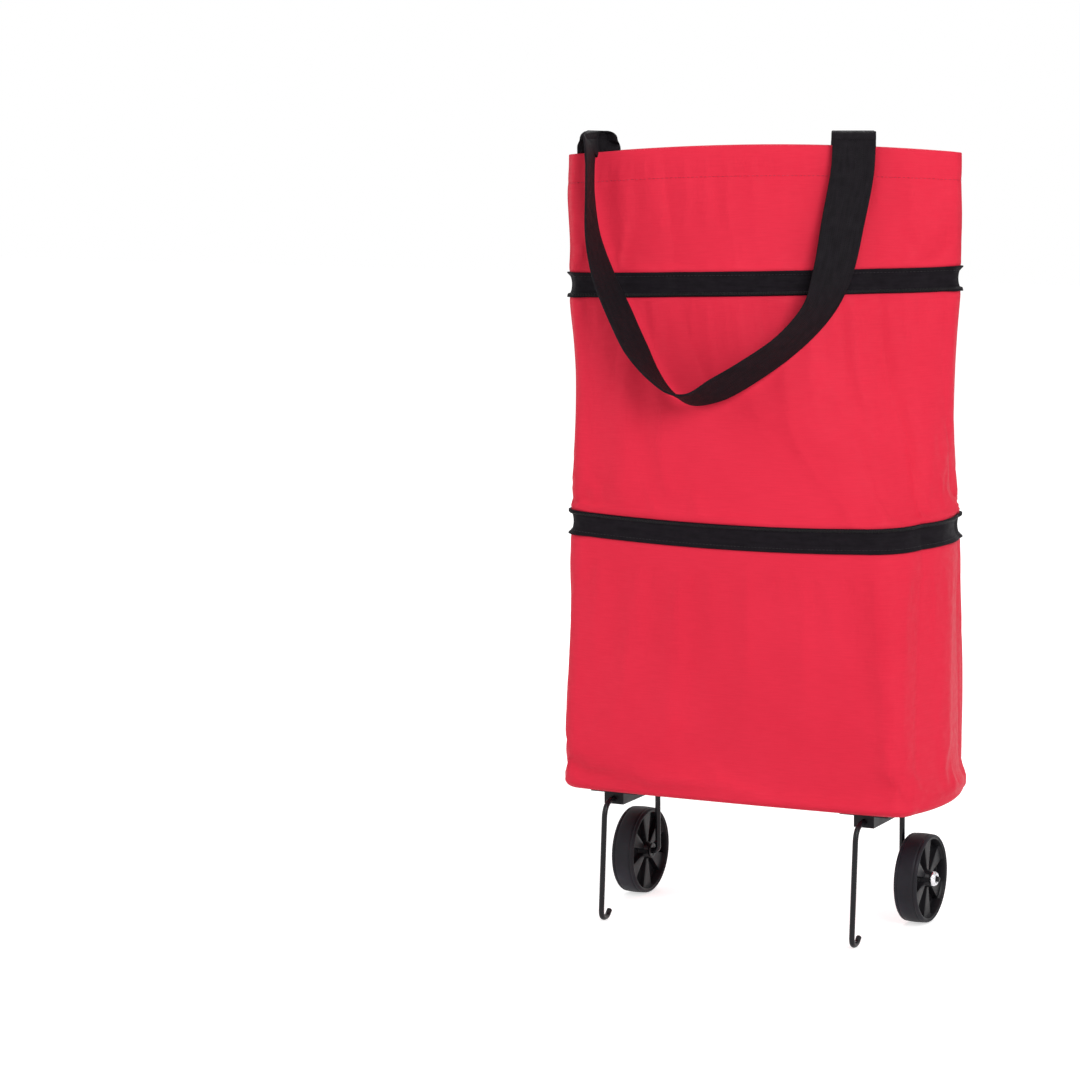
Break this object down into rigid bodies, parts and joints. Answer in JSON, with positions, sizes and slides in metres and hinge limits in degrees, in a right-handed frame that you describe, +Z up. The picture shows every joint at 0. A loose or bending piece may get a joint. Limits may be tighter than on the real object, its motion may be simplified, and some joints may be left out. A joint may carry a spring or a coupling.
{
  "type": "shopping trolley bag",
  "caption": "Expandable cloth shopping bag with zip bands and webbing handles, on two folding wire leg frames with wheels.",
  "frame": {"origin": "on the ground under the middle of the bag's base", "axes": "+X along the base towards the right wheel, +Y to the back, +Z up"},
  "size_m": [0.34, 0.1968, 0.7039],
  "materials": {
    "red_cloth": "satin woven Oxford cloth",
    "black_tape": "matt woven zip tape",
    "black_webbing": "matt ribbed webbing",
    "black_plastic": "satin moulded",
    "tread": "matt tread",
    "black_wire": "satin black paint",
    "bright_steel": "bright plated",
    "board": "plain board"
  },
  "bodies": {
    "base": {"lower_front_panel": "red_cloth", "lower_right_gusset": "red_cloth", "lower_back_panel": "red_cloth", "lower_left_gusset": "red_cloth", "floor_panel": "red_cloth", "base_board": "board", "lower_zip_tape": "black_tape", "lower_zip_teeth": "black_plastic", "middle_front_panel": "red_cloth", "middle_right_gusset": "red_cloth", "middle_back_panel": "red_cloth", "middle_left_gusset": "red_cloth", "left_bracket": "black_plastic", "right_bracket": "black_plastic", "left_rivet_1": "bright_steel", "left_rivet_2": "bright_steel", "left_rivet_3": "bright_steel", "left_rivet_4": "bright_steel", "right_rivet_1": "bright_steel", "right_rivet_2": "bright_steel", "right_rivet_3": "bright_steel", "right_rivet_4": "bright_steel"},
    "upper": {"upper_front_panel": "red_cloth", "upper_right_gusset": "red_cloth", "upper_back_panel": "red_cloth", "upper_left_gusset": "red_cloth", "upper_zip_tape": "black_tape", "upper_zip_teeth": "black_plastic", "snap_stud": "bright_steel", "snap_socket": "bright_steel", "front_handle_left_end": "black_webbing", "front_handle_left_fold": "black_webbing", "front_handle_right_end": "black_webbing", "front_handle_right_fold": "black_webbing", "back_handle_left_end": "black_webbing", "back_handle_left_fold": "black_webbing", "back_handle_right_end": "black_webbing", "back_handle_right_fold": "black_webbing"},
    "front_handle": {"front_handle_loop": "black_webbing"},
    "back_handle": {"back_handle_loop": "black_webbing"},
    "zip_slider": {"zip_slider": "bright_steel"},
    "zip_pull": {"zip_pull_tab": "bright_steel"},
    "left_leg": {"left_leg_wire": "black_wire", "left_inner_washer": "black_plastic", "left_push_nut": "bright_steel"},
    "left_wheel": {"left_tyre": "tread", "left_wheel_core": "black_plastic"},
    "right_leg": {"right_leg_wire": "black_wire", "right_inner_washer": "black_plastic", "right_push_nut": "bright_steel"},
    "right_wheel": {"right_tyre": "tread", "right_wheel_core": "black_plastic"}
  },
  "joints": [
    {"name": "bag_collapse", "type": "slide", "parent": "base", "child": "upper", "axis": [0, 0, -1], "range_m": [0, 0.184], "deforming": ["middle_front_panel", "middle_right_gusset", "middle_back_panel", "middle_left_gusset", "front_handle_loop", "back_handle_loop"]},
    {"name": "front_handle_swing", "type": "hinge", "parent": "upper", "child": "front_handle", "pos_m": [-0.12885, -0.06994, 0.697], "axis": [-0.9243, -0.3816, 0], "range_deg": [0, 180], "deforming": ["front_handle_left_fold", "front_handle_right_fold"]},
    {"name": "back_handle_swing", "type": "hinge", "parent": "upper", "child": "back_handle", "pos_m": [-0.13753, -0.05072, 0.697], "axis": [0.8981, 0.4399, 0], "range_deg": [0, 180], "deforming": ["back_handle_left_fold", "back_handle_right_fold"]},
    {"name": "zip_slide", "type": "slide", "parent": "base", "child": "zip_slider", "axis": [-0.9967, -0.0815, 0], "range_m": [-0.03, 0.12]},
    {"name": "zip_pull_swing", "type": "hinge", "parent": "zip_slider", "child": "zip_pull", "pos_m": [0.07936, 0.07672, 0.35334], "axis": [0.9967, 0.0815, 0], "range_deg": [0, 150]},
    {"name": "left_leg_fold", "type": "hinge", "parent": "base", "child": "left_leg", "pos_m": [-0.1215, 0.029, 0.1075], "axis": [0, -1, 0], "range_deg": [0, 90]},
    {"name": "right_leg_fold", "type": "hinge", "parent": "base", "child": "right_leg", "pos_m": [0.1215, 0.029, 0.1075], "axis": [0, 1, 0], "range_deg": [0, 90]},
    {"name": "left_wheel_spin", "type": "hinge", "parent": "left_leg", "child": "left_wheel", "pos_m": [-0.1395, 0.029, 0.04], "axis": [1, 0, 0], "continuous": true},
    {"name": "right_wheel_spin", "type": "hinge", "parent": "right_leg", "child": "right_wheel", "pos_m": [0.1395, 0.029, 0.04], "axis": [1, 0, 0], "continuous": true}
  ]
}
